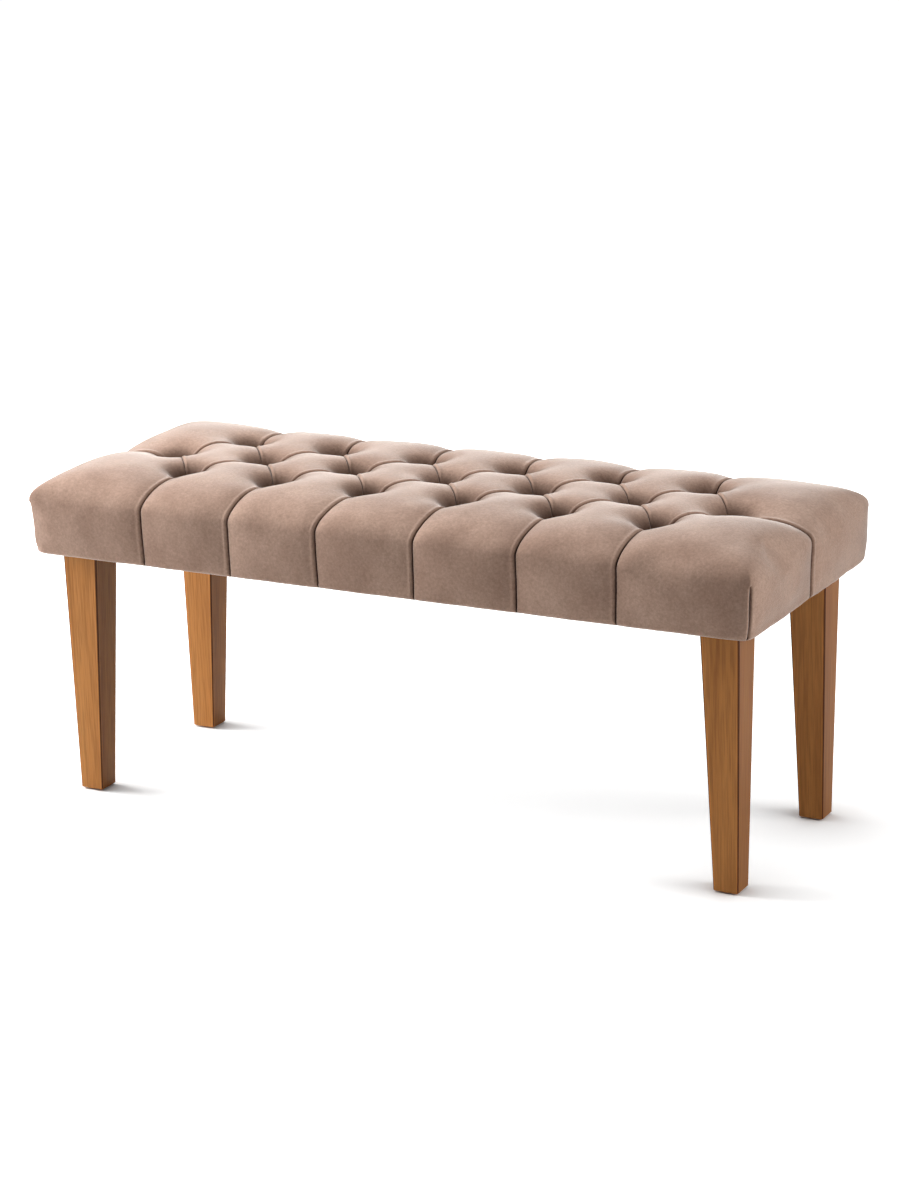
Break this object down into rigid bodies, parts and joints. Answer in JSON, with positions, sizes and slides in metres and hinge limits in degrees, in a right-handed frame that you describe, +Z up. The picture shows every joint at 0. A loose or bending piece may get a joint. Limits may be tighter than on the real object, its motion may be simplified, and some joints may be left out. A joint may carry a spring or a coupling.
{
  "type": "upholstered bench",
  "caption": "Long upholstered bench with a deep tufted velvet cushion on square tapered wooden legs.",
  "frame": {"origin": "on the floor, under the middle of the bench", "axes": "+X along the bench to the right, +Y from front to back, +Z up"},
  "size_m": [1.11, 0.444, 0.4901],
  "materials": {
    "velvet": "short pile velvet",
    "wadding": "soft fibre",
    "foam": "open cell foam",
    "dust_cloth": "thin black cloth",
    "leg_wood": "satin lacquer",
    "frame_wood": "raw sawn",
    "deck_plywood": "raw plywood",
    "zinc_steel": "zinc plated",
    "staple_steel": "galvanised",
    "glide_plastic": "moulded",
    "washer_plastic": "moulded",
    "twine": "waxed twine"
  },
  "bodies": {
    "root": {"front_rail": "frame_wood", "back_rail": "frame_wood", "left_end_rail": "frame_wood", "right_end_rail": "frame_wood", "left_brace": "frame_wood", "right_brace": "frame_wood", "corner_block_front_left": "frame_wood", "corner_block_front_right": "frame_wood", "corner_block_back_left": "frame_wood", "corner_block_back_right": "frame_wood", "leg_front_left": "leg_wood", "leg_front_right": "leg_wood", "leg_back_left": "leg_wood", "leg_back_right": "leg_wood", "deck_board": "deck_plywood", "hanger_bolts": "zinc_steel", "tee_nuts": "zinc_steel", "rail_screws": "zinc_steel", "block_screws": "zinc_steel", "deck_screws": "zinc_steel", "cover_staples": "staple_steel", "dust_cloth_staples": "staple_steel", "foot_glides": "glide_plastic", "tuft_ties": "twine", "tie_washers": "washer_plastic", "foam_pad": "foam", "wadding_layer": "wadding", "velvet_cover": "velvet", "dust_cloth": "dust_cloth"}
  },
  "joints": []
}
